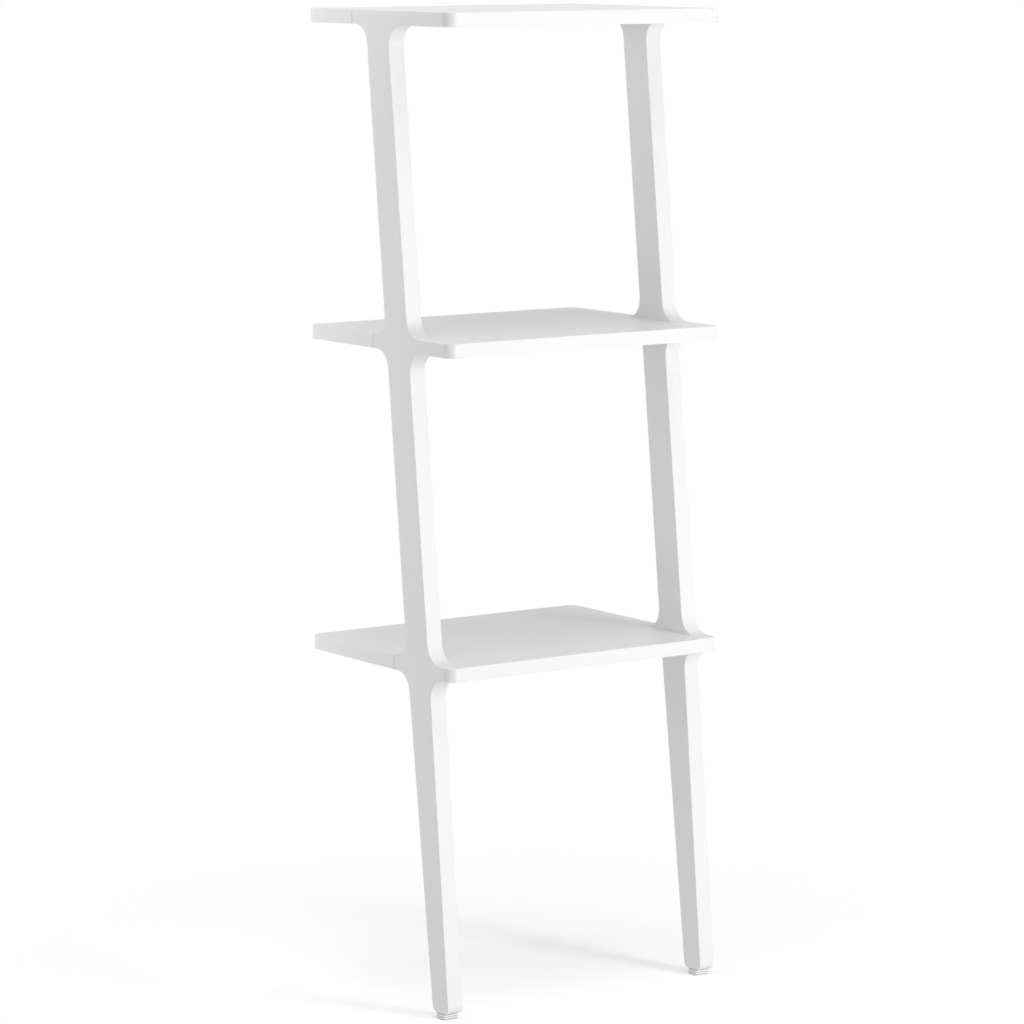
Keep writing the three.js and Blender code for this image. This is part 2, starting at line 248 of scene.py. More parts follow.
# %% [markdown]
# ## Lamps
#
# Eight area lamps, each rectangular, named after where they stand. The low front box stands a little to
# the right: it makes the front edges the brightest, leaves the left faces grey, and draws the long soft
# streaks behind the feet together with the near front box. Three big boxes overhead light the shelf
# tops, most of all towards their front. The box to the left keeps the left faces from going dark. The
# small box and the tall narrow strip behind on the left are weak, and brighten the rear corners. Other
# sets of lamps can give much the same tones, so this is one way to light the shelf, not the only one.

# %% Lamps
def soft_box(name, place, target, size, watts):
    """An area lamp of a width and height at a place, turned to a target."""
    lamp = bpy.data.lights.new(name, "AREA")
    lamp.shape = "RECTANGLE"
    lamp.size, lamp.size_y = size
    lamp.energy = watts
    box = put_in_scene(bpy.data.objects.new(name, lamp))
    box.location = place
    box.rotation_euler = (Vector(target) - Vector(place)).to_track_quat("-Z", "Y").to_euler()
    print(name, "is", round((Vector(target) - Vector(place)).length, 2), "m away,", watts, "W")


object_middle = (cad_low + cad_high) / 2
lower_legs = Vector((0.0, -0.2, -1.3))
soft_box("low front box", (1.29, -5.03, -1.2), (0.0, -0.3, -1.25), (0.6, 0.6), 70.1)
soft_box("near front box", (1.0, -2.8, -0.04), lower_legs, (0.6, 0.6), 18.4)
soft_box("box overhead", (0.0, -0.4, 3.0), object_middle, (2.0, 2.0), 18.2)
soft_box("front box overhead", (0.0, -2.0, 3.0), object_middle, (2.0, 2.0), 20.8)
soft_box("left box overhead", (-1.2, -0.4, 3.0), object_middle, (2.0, 2.0), 14.6)
soft_box("left box", (-3.5, 1.5, -0.6), object_middle, (1.5, 1.5), 16.5)
soft_box("rear left box", (-0.8, 1.2, 0.2), (-0.25, -0.05, -0.5), (0.5, 0.5), 3.2)
soft_box("rear left strip", (-0.5, 0.1, -0.6), (0.0, 0.1, -0.6), (0.1, 1.7), 0.7)

# %% [markdown]
# ## Finishes
#
# Every finish reads Object coordinates. The pieces sit at the origin, so these are plain metres, and a
# noise scale of 400 means grains of 2.5 mm. What varies is kept small: fresh lacquer is even, and only
# its sheen and a fine orange-peel skin tell it from plastic.

# %% Noise, tint and surface
def noise(tree, scale, detail=2.0, stretch=(1.0, 1.0, 1.0), softness=0.5):
    """A noise over Object coordinates, about 0.5 in the middle. Stretch scales each axis."""
    place = tree.add("TexCoord", output="Object")
    mapped = tree.add("Mapping", inputs={"Vector": place, "Scale": stretch})
    return tree.add("TexNoise", inputs={"Vector": mapped, "Scale": scale, "Detail": detail,
                                        "Roughness": softness})


def tinted(tree, share, dark, light):
    """A colour between two others."""
    ends = {0: share, 6: (*dark, 1.0), 7: (*light, 1.0)}
    return tree.add("Mix", {"data_type": "RGBA"}, ends, output=2)


def finished_material(tree, color, roughness, height, depth, **constants):
    """Joins colour, roughness and a bump of a depth in metres in one Principled shader."""
    bump = tree.add("Bump", inputs={"Height": height, "Distance": depth, "Strength": 1.0})
    sockets = {name.replace("_", " "): value for name, value in constants.items()}
    surface = tree.add("BsdfPrincipled", inputs={"Base Color": color, "Roughness": roughness,
                                                 "Normal": bump, **sockets})
    tree.add("OutputMaterial", inputs={"Surface": surface})
    print("finish:", tree.owner.name, "with", len(tree.nodes), "nodes")
    return tree.owner


# %% [markdown]
# ### White lacquer
#
# Sprayed lacquer pools into a skin of shallow dimples, 2 to 3 mm across and a few hundredths of a
# millimetre deep. A slow noise varies the sheen, as sanding between coats does, and shifts the white by
# a hair.

# %% White lacquer
lacquer_tree = Tree(bpy.data.materials.new("white lacquer"))
clouds = noise(lacquer_tree, 6.0, detail=3.0)
dimples = noise(lacquer_tree, 380.0, detail=1.5)
dust = noise(lacquer_tree, 1900.0, detail=1.0)
white = tinted(lacquer_tree, clouds * 0.8 + dust * 0.2, (0.765, 0.765, 0.765), (0.795, 0.795, 0.795))
sheen = 0.37 + clouds * 0.07 + dust * 0.03
skin = dimples + dust * 0.12
lacquer = finished_material(lacquer_tree, white, sheen, skin, 0.000035, IOR=1.5)

# %% [markdown]
# ### Painted seam shade
#
# The end wall of each shelf's notch, in the narrow seam just behind the arm, is painted a dark matt grey.
# This is painted shade: it darkens the seam into a thin dark line behind each arm, as shade in the gap
# would.

# %% Painted seam shade
seam_shade_tree = Tree(bpy.data.materials.new("painted seam shade"))
streaks = noise(seam_shade_tree, 90.0, detail=4.0)
board_dust = noise(seam_shade_tree, 1500.0, detail=2.0)
# A dark grey that stands in for the shade in the seam behind each arm, with a little random variation.
seam_shade_grey = tinted(seam_shade_tree, streaks * 0.7 + board_dust * 0.3, (0.30, 0.30, 0.30), (0.38, 0.38, 0.38))
painted_seam_shade = finished_material(seam_shade_tree, seam_shade_grey, 0.75 + streaks * 0.1, board_dust, 0.00003, IOR=1.5)

# %% [markdown]
# ### Moulded nylon
#
# The glides are taken to be moulded nylon. A spark-eroded mould leaves a fine even grain, so they get
# one, and are duller than the lacquer.

# %% Moulded nylon
nylon_tree = Tree(bpy.data.materials.new("moulded nylon"))
grain = noise(nylon_tree, 2600.0, detail=2.0)
scuffs = noise(nylon_tree, 160.0, detail=4.0)
pale = tinted(nylon_tree, scuffs, (0.86, 0.86, 0.86), (0.91, 0.91, 0.91))
nylon = finished_material(nylon_tree, pale, 0.48 + scuffs * 0.14, grain, 0.00003, IOR=1.53)

# %% [markdown]
# ### Metals
#
# Such cams are mostly cast in zinc: grey and slightly blotchy, with a rough skin. Plates, bolts and
# screws are plated steel, brighter, with fine marks from the tumbling drum. A metal's colour tints its
# reflections, so the blotches go into both colour and roughness.

# %% Metals
def metal(name, dark, light, blotch, roughness, depth):
    """A metal with blotches of a noise scale and a fine skin of a depth in metres."""
    tree = Tree(bpy.data.materials.new(name))
    blotches = noise(tree, blotch, detail=4.0)
    marks = noise(tree, 3000.0, detail=2.0)
    color = tinted(tree, blotches * 1.4 - 0.2, dark, light)
    skin_height = marks * 0.6 + blotches * 0.4
    return finished_material(tree, color, roughness + blotches * 0.18, skin_height, depth, Metallic=1.0)


cast_zinc = metal("cast zinc", (0.44, 0.45, 0.46), (0.64, 0.65, 0.66), 420.0, 0.38, 0.00005)
plated_steel = metal("plated steel", (0.60, 0.61, 0.63), (0.78, 0.79, 0.80), 250.0, 0.22, 0.00001)

# %% [markdown]
# ### Raw beech
#
# The dowels are unfinished beech. Along the grain, here X, a noise is stretched into fibres, and short
# dark flecks lie between them.

# %% Raw beech
beech_tree = Tree(bpy.data.materials.new("raw beech"))
fibres = noise(beech_tree, 900.0, detail=4.0, stretch=(0.05, 1.0, 1.0), softness=0.6)
flecks = noise(beech_tree, 1400.0, detail=1.0, stretch=(0.25, 1.0, 1.0))
fleck_share = beech_tree.add("ValToRGB", {"stops": [(0.60, 0.0), (0.68, 1.0)]}, {"Fac": flecks})
wood = tinted(beech_tree, fibres, (0.47, 0.29, 0.15), (0.67, 0.46, 0.27))
ends = {0: fleck_share, 6: wood, 7: (0.36, 0.20, 0.10, 1.0)}
flecked_wood = beech_tree.add("Mix", {"data_type": "RGBA"}, ends, output=2)
beech = finished_material(beech_tree, flecked_wood, 0.62 + fibres * 0.2, fibres, 0.00008, IOR=1.45)

# %% [markdown]
# ## Making pieces
#
# A board starts as one flat face with its corners in place. It is drawn out to its thickness, and then
# bevels of the right width turn chosen edges into fillets and round corners. That keeps each radius a
# single number. Drawing every arc point by point would work too, but would hide the design in lists.

# %% Flat face and thickness
MM = 0.001
MERGE = 0.001 * MM
NEAR = 0.02 * MM
SAME_WAY = 0.999


def flat_face(bm, points):
    """One face through the points."""
    return bm.faces.new([bm.verts.new(point) for point in points])


def items(made, kind):
    """What an operator says it made, of one kind: bmesh.types.BMVert, BMEdge or BMFace."""
    return [item for item in made["geom"] if isinstance(item, kind)]


def draw_out(bm, faces, by=(0, 0, 0)):
    """Draws faces out along a vector, with new walls around them. Their edges are handed over too,
    because otherwise the old faces would stay inside."""
    edges = {edge for face in faces for edge in face.edges}
    made = bmesh.ops.extrude_face_region(bm, geom=[*faces, *edges])
    verts = items(made, bmesh.types.BMVert)
    bmesh.ops.translate(bm, verts=verts, vec=by)
    return verts, items(made, bmesh.types.BMFace)


def thicken(bm, faces, by):
    """Draws faces out along a vector into a closed solid."""
    draw_out(bm, faces, by)
    bmesh.ops.recalc_face_normals(bm, faces=bm.faces)


# %% Rounding edges
FILLET_STEPS = 14
CRISP_ANGLE = math.radians(30)
EDGE_RADIUS = 0.9 * MM
EDGE_STEPS = 3
FINE_STEPS = 2


def edge_at(bm, place):
    """The edge whose middle is nearest to a place."""
    place = Vector(place)
    return min(bm.edges, key=lambda edge: (sum((v.co for v in edge.verts), Vector()) / 2 - place).length)


def round_edge(bm, edge, radius, steps=FILLET_STEPS):
    """Turns one edge, inner or outer, into an arc of a radius. The flatter the edge, the less it
    takes from the faces beside it."""
    reach = radius * math.tan(edge.calc_face_angle() / 2)
    bmesh.ops.bevel(bm, geom=[edge], offset=reach, offset_type="OFFSET", segments=steps,
                    profile=0.5, affect="EDGES", material=-1)


def soften(bm, edges, radius=EDGE_RADIUS, steps=EDGE_STEPS):
    """Takes the sharpness off edges. The new faces are marked weak, so that the flat faces beside
    them keep their shading."""
    bmesh.ops.bevel(bm, geom=edges, offset=radius, offset_type="OFFSET", segments=steps,
                    profile=0.5, affect="EDGES", material=-1, face_strength_mode="NEW")


def crisp_edges(bm):
    """The edges where two faces meet at a clear angle."""
    return [edge for edge in bm.edges if edge.is_manifold and edge.calc_face_angle() > CRISP_ANGLE]


# %% [markdown]
# ### Pockets and bores
#
# A hole in a flat face can be cut with a Boolean, but here the face is taken out and filled again
# between its rim and the rings of the holes. Each ring is then drawn inwards and gets a floor. The mesh
# stays closed, and nothing is left over to clean up.

# %% Pockets
RING_SIDES = 40


def edges_of(verts):
    """The edges between vertices of a list."""
    inside = set(verts)
    return [edge for edge in {e for v in verts for e in v.link_edges} if inside.issuperset(edge.verts)]


def ring(bm, centre, facing, radius, stretch=(0.0, 0.0, 0.0), sides=RING_SIDES):
    """A circle of loose edges. A stretch pulls its halves apart into a slot's outline."""
    centre, facing, stretch = Vector(centre), Vector(facing), Vector(stretch)
    turn = facing.to_track_quat("Z", "Y").to_matrix().to_4x4()
    half_step = Matrix.Rotation(math.pi / sides, 4, "Z")
    made = bmesh.ops.create_circle(bm, cap_ends=False, radius=radius, segments=sides,
                                   matrix=Matrix.Translation(centre) @ turn @ half_step)
    for way in (1, -1):
        half = [v for v in made["verts"] if (v.co - centre).dot(stretch) * way > 0]
        bmesh.ops.translate(bm, verts=half, vec=stretch * way)
    return edges_of(made["verts"])


def face_at(bm, place, facing):
    """The largest face that looks a certain way in the plane through a place."""
    place, facing = Vector(place), Vector(facing)
    bm.normal_update()
    in_plane = [face for face in bm.faces if face.normal.dot(facing) > SAME_WAY
                and abs((face.verts[0].co - place).dot(facing)) < NEAR]
    return max(in_plane, key=lambda face: face.calc_area())


def open_face(bm, face, rings):
    """Leaves holes with these rings in a flat face."""
    facing = face.normal.copy()
    rim = list(face.edges)
    bmesh.ops.delete(bm, geom=[face], context="FACES_ONLY")
    edges = rim + [edge for hole in rings for edge in hole]
    bmesh.ops.triangle_fill(bm, use_beauty=True, edges=edges, normal=facing)


def sink(bm, hole, by):
    """Draws a hole's ring along a vector and closes it there with a floor, which it returns."""
    made = bmesh.ops.extrude_edge_only(bm, edges=hole)
    deep = items(made, bmesh.types.BMVert)
    bmesh.ops.translate(bm, verts=deep, vec=by)
    floor_face = bmesh.ops.contextual_create(bm, geom=edges_of(deep))["faces"][0]
    floor_face.normal_update()
    return floor_face


def drill(bm, facing, holes):
    """Sinks round blind holes, given as (centre, radius, depth), into the flat face around them."""
    facing = Vector(facing)
    face = face_at(bm, holes[0][0], facing)
    rings = [ring(bm, centre, facing, radius) for centre, radius, _ in holes]
    open_face(bm, face, rings)
    for hole, (_, _, depth) in zip(rings, holes):
        sink(bm, hole, -facing * depth)


# %% From mesh to piece
SHARP_ANGLE = math.radians(38)


def dress(bm, name, material, node):
    """Makes a finished piece of a mesh. It rides on the object and stands for its CAD solid."""
    bmesh.ops.remove_doubles(bm, verts=bm.verts, dist=MERGE)
    bmesh.ops.recalc_face_normals(bm, faces=bm.faces)
    open_edges = sum(not edge.is_manifold for edge in bm.edges)
    mesh = bpy.data.meshes.new(name)
    bm.to_mesh(mesh)
    bm.free()
    mesh.materials.append(material)
    mesh.shade_smooth()
    mesh.set_sharp_from_angle(angle=SHARP_ANGLE)
    piece = put_in_scene(bpy.data.objects.new(name, mesh))
    shading = piece.modifiers.new("flat faces stay flat", "WEIGHTED_NORMAL")
    shading.use_face_influence = True
    shading.keep_sharp = True
    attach(piece, "root")
    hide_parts(node)
    size = [round(side / MM, 1) for side in piece.dimensions]
    print(f"{name}: {len(mesh.polygons)} faces, {size} mm, {open_edges} open edges")
    return piece


# %% [markdown]
# ## Where the boards meet
#
# The heights, the outer faces and the places of the fittings come from the solids. The leg's lines are
# worked out as in the CAD source: it leans back evenly from the lowest shelf up, and narrows from there
# to the floor.

# %% Levels and outer faces
LEVELS = ("top", "middle", "bottom")
SIDES = {"left": -1, "right": 1}

shelf_low = {level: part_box(f"shelf_{level}")[0] for level in LEVELS}
shelf_high = {level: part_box(f"shelf_{level}")[1] for level in LEVELS}
FRONT_Y = shelf_low["top"].y
BACK_Y = shelf_high["top"].y
HALF_WIDTH = shelf_high["top"].x
top_z = {level: shelf_high[level].z for level in LEVELS}
under_z = {level: shelf_low[level].z for level in LEVELS}
middle_z = {level: (top_z[level] + under_z[level]) / 2 for level in LEVELS}
print("shelf tops at", [round(top_z[level], 3) for level in LEVELS], "m")

# %% The joint's plane and the leg's end
frame_low, frame_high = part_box("side_frame_left")
JOINT_X = -frame_high.x
FRAME_THICKNESS = HALF_WIDTH - JOINT_X
LEG_END_Z = frame_low.z
print("joint at", round(JOINT_X, 4), "leg ends", round(LEG_END_Z - cad_low.z, 4), "m over the floor")

# %% The leg's lines
LEG_DEPTH = 60.5 * MM
LEG_LEAN = math.tan(math.radians(6.37))
LEG_END_DEPTH = 43.0 * MM
LEG_END_SETBACK = 4.6 * MM
ARM_REACH = 36.0 * MM


def leg_y(z, edge):
    """Where the leg's front edge (-1), centre line (0) or rear edge (1) lies at a height."""
    lowest = top_z["bottom"]
    upper = (FRONT_Y + BACK_Y) / 2 - (top_z["top"] - max(z, lowest)) * LEG_LEAN + edge * LEG_DEPTH / 2
    end = FRONT_Y + LEG_END_SETBACK + (1 + edge) * LEG_END_DEPTH / 2
    share = max(0.0, lowest - z) / (lowest - LEG_END_Z)
    return upper + (end - upper) * share


arm_end = {level: leg_y(top_z[level], 1) + ARM_REACH for level in LEVELS}
print("arms end", [round(-arm_end[level], 4) for level in LEVELS], "m from the wall")

# %% [markdown]
# ## Side frames
#
# A side frame is a leg with three crossing arms, cut from one 28 mm board. Its outline is sharp at
# first. Bevels then make the inner fillets, the round leg end and the arms' round front corners, and a
# last narrow bevel takes the sharpness off. The lines along the shelves stay sharp, because there arm
# and shelf lie flush and the joint hardly shows.

# %% Outline of a frame
FILLET_RADIUS = 32.0 * MM
LEG_END_RADIUS = 12.0 * MM


def frame_corners():
    """The outline's corners as (y, z, radius), down the front and up the back."""
    front, rear = [], []
    for level in LEVELS:
        top, under = top_z[level], under_z[level]
        if level != LEVELS[0]:
            front.append((leg_y(top, -1), top, FILLET_RADIUS))
            rear.append((leg_y(top, 1), top, FILLET_RADIUS))
        front += [(FRONT_Y, top, 0), (FRONT_Y, under, 0), (leg_y(under, -1), under, FILLET_RADIUS)]
        rear += [(arm_end[level], top, 0), (arm_end[level], under, 0),
                 (leg_y(under, 1), under, FILLET_RADIUS)]
    front.append((leg_y(LEG_END_Z, -1), LEG_END_Z, LEG_END_RADIUS))
    rear.append((leg_y(LEG_END_Z, 1), LEG_END_Z, LEG_END_RADIUS))
    return front + rear[::-1]


print("frame outline has", len(frame_corners()), "corners")

# %% Which edges of a frame stay sharp
CORNER_RADIUS = 18.0 * MM
SEAM_RADIUS = 0.15 * MM


def on_both(edge, test):
    """True if both ends of an edge pass a test."""
    return all(test(vert.co) for vert in edge.verts)


def on_joint(edge, joint_x):
    """True for an edge along the joint between an arm and its shelf."""
    if not on_both(edge, lambda co: abs(abs(co.x) - joint_x) < NEAR):
        return False
    flush = [z for level in LEVELS for z in (top_z[level], under_z[level])]
    ends = [FRONT_Y, *arm_end.values()]
    along = any(on_both(edge, lambda co: abs(co.z - z) < NEAR) for z in flush)
    return along or any(on_both(edge, lambda co: abs(co.y - y) < NEAR) for y in ends)


def in_plane_y(edge, places):
    """True for an edge that lies in one of the planes with these Y."""
    return any(on_both(edge, lambda co: abs(co.y - y) < NEAR) for y in places)


# %% Frame
def middle_of(node):
    """The middle of a CAD solid's box."""
    low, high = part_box(node)
    return (low + high) / 2


def fitting_places(level, side, joint_x):
    """Where a shelf end's bolt and dowels cross the joint: (name, place)."""
    nodes = {"bolt": f"cam_bolt_{level}_{side}",
             "front": f"dowel_{level}_{side}_front",
             "rear": f"dowel_{level}_{side}_rear"}
    return [(name, Vector((SIDES[side] * joint_x, *middle_of(node).yz)))
            for name, node in nodes.items()]


BOLT_HOLE = 3.5 * MM
DOWEL_HOLE = 4.3 * MM
HOLE_DEPTH_IN_FRAME = 12.5 * MM
PILOT_RADIUS = 2.0 * MM
PILOT_DEPTH = 25.0 * MM


def side_frame(side):
    """One side frame as a mesh."""
    sign = SIDES[side]
    outer_x = sign * HALF_WIDTH
    bm = bmesh.new()
    face = flat_face(bm, [(outer_x, y, z) for y, z, _ in frame_corners()])
    thicken(bm, [face], (-sign * FRAME_THICKNESS, 0, 0))
    centre_x = outer_x - sign * FRAME_THICKNESS / 2
    for y, z, radius in frame_corners():
        if radius:
            round_edge(bm, edge_at(bm, (centre_x, y, z)), radius)
    for level in LEVELS:
        round_edge(bm, edge_at(bm, (outer_x, FRONT_Y, middle_z[level])), CORNER_RADIUS)
    arm_ends = arm_end.values()
    soften(bm, [edge for edge in crisp_edges(bm)
                if not on_joint(edge, JOINT_X) and not in_plane_y(edge, arm_ends)])
    soften(bm, [edge for edge in crisp_edges(bm)
                if in_plane_y(edge, arm_ends) and not on_joint(edge, JOINT_X)],
           SEAM_RADIUS, FINE_STEPS)
    holes = [(place, BOLT_HOLE if name == "bolt" else DOWEL_HOLE, HOLE_DEPTH_IN_FRAME)
             for level in LEVELS for name, place in fitting_places(level, side, JOINT_X)]
    drill(bm, (-sign, 0, 0), holes)
    pilot = Vector((*middle_of(f"glide_screw_{side}").xy, LEG_END_Z))
    drill(bm, (0, 0, -1), [(pilot, PILOT_RADIUS, PILOT_DEPTH)])
    return bm


for side in SIDES:
    dress(side_frame(side), f"{side}_frame_board", lacquer, f"side_frame_{side}")

# %% [markdown]
# ## Shelves
#
# Each shelf is a 22 mm board with a notch at either front corner for an arm. Only the back corners are
# its own, rounded like the arms' front ones. The fittings' pockets open on the underside and in the
# joint faces, where the arms hide them. The notch ends just behind the arm, where its end wall is painted
# dark grey as shade in the seam.

# %% Shelf
JOINT_GAP = 0.03 * MM
REAR_SEAM = 0.8 * MM
# The material slot of the dark grey that paints the seam's shade.
SEAM_SHADE_INDEX = 1
CAM_POCKET = (7.8 * MM, 15.7 * MM)
BOLT_BORE = (3.8 * MM, 25.5 * MM)
DOWEL_DEPTH_IN_SHELF = 19.5 * MM


def shelf_corners(level):
    """The plan's corners as (x, y)."""
    notch_x = JOINT_X - JOINT_GAP
    notch_y = arm_end[level] + REAR_SEAM
    right = [(notch_x, FRONT_Y), (notch_x, notch_y), (HALF_WIDTH, notch_y), (HALF_WIDTH, BACK_Y)]
    return right + [(-x, y) for x, y in right[::-1]]


def shelf_board(level):
    """One shelf as a mesh, with the pockets for its fittings."""
    notch_x = JOINT_X - JOINT_GAP
    notch_y = arm_end[level] + REAR_SEAM

    def in_joint(edge):
        return on_both(edge, lambda co: abs(abs(co.x) - notch_x) < NEAR)

    bm = bmesh.new()
    face = flat_face(bm, [(x, y, under_z[level]) for x, y in shelf_corners(level)])
    thicken(bm, [face], (0, 0, top_z[level] - under_z[level]))
    for sign in SIDES.values():
        round_edge(bm, edge_at(bm, (sign * HALF_WIDTH, BACK_Y, middle_z[level])), CORNER_RADIUS)
    soften(bm, [edge for edge in crisp_edges(bm)
                if not in_joint(edge) and not in_plane_y(edge, [notch_y])])
    soften(bm, [edge for edge in crisp_edges(bm)
                if in_plane_y(edge, [notch_y]) and not in_joint(edge)], SEAM_RADIUS, FINE_STEPS)
    for side, sign in SIDES.items():
        holes = [(place, *(BOLT_BORE if name == "bolt" else (DOWEL_HOLE, DOWEL_DEPTH_IN_SHELF)))
                 for name, place in fitting_places(level, side, notch_x)]
        drill(bm, (sign, 0, 0), holes)
    cams = [Vector((*middle_of(f"cam_lock_{level}_{side}").xy, under_z[level])) for side in SIDES]
    drill(bm, (0, 0, -1), [(cam, *CAM_POCKET) for cam in cams])
    # The notch's end wall, just behind the arm, gets the dark grey of the painted seam shade.
    for face in bm.faces:
        if abs(face.calc_center_median().y - notch_y) < NEAR:
            face.material_index = SEAM_SHADE_INDEX
    return bm


shelves = {level: shelf_board(level) for level in LEVELS}
print("shelves shaped:", ", ".join(shelves))

# %% [markdown]
# ### Seats for the wall plates
#
# The top shelf's back edge has two sunk seats for keyhole plates, round-ended, with a deeper slot
# behind each keyhole for the head of the wall screw, and two pilots for the plate's own screws.

# %% Seats
PLATE_GAP = 0.3 * MM
SEAT_DEPTH = 2.1 * MM
ROOM_RADIUS = 5.0 * MM
ROOM_TRAVEL = 7.0 * MM
ROOM_DEPTH = 8.9 * MM
PLATE_PILOT = (1.7 * MM, 15.9 * MM)

back_face = face_at(shelves["top"], (0, BACK_Y, 0), (0, 1, 0))
seats = []
for side in SIDES:
    low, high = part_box(f"wall_plate_{side}")
    radius = (high.z - low.z) / 2 + PLATE_GAP
    centre = Vector((*middle_of(f"wall_plate_{side}").xz, BACK_Y)).xzy
    reach = Vector((high.x - low.x - (high.z - low.z), 0, 0)) / 2
    seats.append((side, centre, ring(shelves["top"], centre, (0, 1, 0), radius, reach)))
open_face(shelves["top"], back_face, [outline for _, _, outline in seats])
for side, centre, outline in seats:
    seat_floor = sink(shelves["top"], outline, (0, -SEAT_DEPTH, 0))
    centre.y -= SEAT_DEPTH
    room = ring(shelves["top"], centre, (0, 1, 0), ROOM_RADIUS, (0, 0, ROOM_TRAVEL / 2))
    pilots = []
    for place in ("inner", "outer"):
        spot = middle_of(f"plate_screw_{side}_{place}")
        pilots.append(ring(shelves["top"], (spot.x, centre.y, spot.z), (0, 1, 0), PLATE_PILOT[0]))
    open_face(shelves["top"], seat_floor, [room, *pilots])
    sink(shelves["top"], room, (0, -ROOM_DEPTH, 0))
    for pilot in pilots:
        sink(shelves["top"], pilot, (0, -PLATE_PILOT[1], 0))

for level, bm in shelves.items():
    board = dress(bm, f"{level}_shelf_board", lacquer, f"shelf_{level}")
    # The second material paints shade in the seam on the notch end walls.
    board.data.materials.append(painted_seam_shade)
    seam_shade_faces = sum(polygon.material_index == SEAM_SHADE_INDEX for polygon in board.data.polygons)
    print(f"{level} shelf: {seam_shade_faces} faces with painted seam shade")

# %% [markdown]
# ## Foot glides
#
# Under each leg is a moulded block with two ribs between a thin lip on the floor and a neck under the
# leg. One rounded face is drawn up layer by layer, full size and set in by turns. The block is then
# bored for its screw.

# %% Glide
GLIDE_LAYERS = [height * MM for height in (1.0, 1.0, 2.5, 1.0, 2.7, 1.0)]
SET_IN = 4.5 * MM
GLIDE_CORNER = 4.0 * MM
GLIDE_EDGE = 0.15 * MM
GLIDE_CORNER_STEPS = 8
SCREW_HEAD_HOLE = (3.8 * MM, 4.3 * MM)


def draw_up(bm, cap, rise=0.0, inset=0.0):
    """Draws a level cap up, or in and out by an inset, and returns the new cap."""
    xs = [vert.co.x for vert in cap.verts]
    ys = [vert.co.y for vert in cap.verts]
    middle = Vector(((max(xs) + min(xs)) / 2, (max(ys) + min(ys)) / 2, 0.0))
    width, depth = max(xs) - min(xs), max(ys) - min(ys)
    verts, caps = draw_out(bm, [cap], (0, 0, rise))
    bmesh.ops.scale(bm, verts=verts, space=Matrix.Translation(-middle),
                    vec=((width - 2 * inset) / width, (depth - 2 * inset) / depth, 1.0))
    return caps[0]


def foot_glide(side):
    """One ribbed glide as a mesh."""
    low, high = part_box(f"foot_glide_{side}")
    bm = bmesh.new()
    flat_face(bm, [(low.x, low.y, low.z), (high.x, low.y, low.z),
                   (high.x, high.y, low.z), (low.x, high.y, low.z)])
    bmesh.ops.bevel(bm, geom=bm.verts[:], offset=GLIDE_CORNER, offset_type="OFFSET",
                    segments=GLIDE_CORNER_STEPS, profile=0.5, affect="VERTICES", material=-1)
    cap = bm.faces[:][0]
    inset = SET_IN
    for height in GLIDE_LAYERS[:-1]:
        cap = draw_up(bm, cap, rise=height)
        cap = draw_up(bm, cap, inset=inset)
        inset = -inset
    draw_up(bm, cap, rise=GLIDE_LAYERS[-1])
    bmesh.ops.recalc_face_normals(bm, faces=bm.faces)
    soften(bm, [edge for edge in crisp_edges(bm) if edge.is_convex], GLIDE_EDGE, FINE_STEPS)
    centre = middle_of(f"foot_glide_{side}")
    up, down = Vector((0, 0, 1)), Vector((0, 0, -1))
    centre.z = low.z
    head_hole = ring(bm, centre, down, SCREW_HEAD_HOLE[0])
    open_face(bm, face_at(bm, centre, down), [head_hole])
    seat = sink(bm, head_hole, up * SCREW_HEAD_HOLE[1])
    top_centre = Vector((*centre.xy, high.z))
    lower_ring = ring(bm, centre + up * SCREW_HEAD_HOLE[1], up, PILOT_RADIUS)
    upper_ring = ring(bm, top_centre, up, PILOT_RADIUS)
    open_face(bm, seat, [lower_ring])
    open_face(bm, face_at(bm, top_centre, up), [upper_ring])
    bmesh.ops.bridge_loops(bm, edges=lower_ring + upper_ring)
    return bm


for side in SIDES:
    dress(foot_glide(side), f"{side}_ribbed_glide", nylon, f"foot_glide_{side}")

# %% [markdown]
# ## Turned fittings
#
# Screws, bolts and cams are round, so a profile of radius and height is spun once about its axis. The
# profile stops at the rim of the head, where a cross recess is let in the way the pockets were cut.

# %% Spinning a profile
TURN_STEPS = 40


def turned(profile, steps=TURN_STEPS):
    """Spins a profile of (radius, height) in millimetres about Z."""
    bm = bmesh.new()
    verts = [bm.verts.new((radius * MM, 0, height * MM)) for radius, height in profile]
    edges = [bm.edges.new(pair) for pair in zip(verts, verts[1:])]
    bmesh.ops.spin(bm, geom=verts + edges, cent=(0, 0, 0), axis=(0, 0, 1), angle=2 * math.pi,
                   steps=steps, use_merge=True)
    bmesh.ops.remove_doubles(bm, verts=bm.verts, dist=MERGE)
    bmesh.ops.recalc_face_normals(bm, faces=bm.faces)
    return bm


def aim(bm, place, direction):
    """Moves a mesh from the origin to a place and turns its Z to a direction."""
    turn = Vector(direction).to_track_quat("Z", "Y").to_matrix().to_4x4()
    bmesh.ops.transform(bm, matrix=Matrix.Translation(place) @ turn, verts=bm.verts)
    return bm


def thread(radius, start, end, pitch=1.3, depth=0.35):
    """The profile of a thread, as ridges in millimetres."""
    ridges = int((end - start) / pitch)
    shape = [(0.0, -depth), (0.35, 0.0), (0.5, 0.0), (0.85, -depth)]
    return [(radius + rise, start + (row + share) * pitch) for row in range(ridges)
            for share, rise in shape]


# %% Cross recess
RECESS_TAPER = 0.72
RECESS_SPAN = 1.15
RECESS_WIDTH = 0.32
RECESS_DEPTH = 0.7
POINT_LENGTH = 3.0


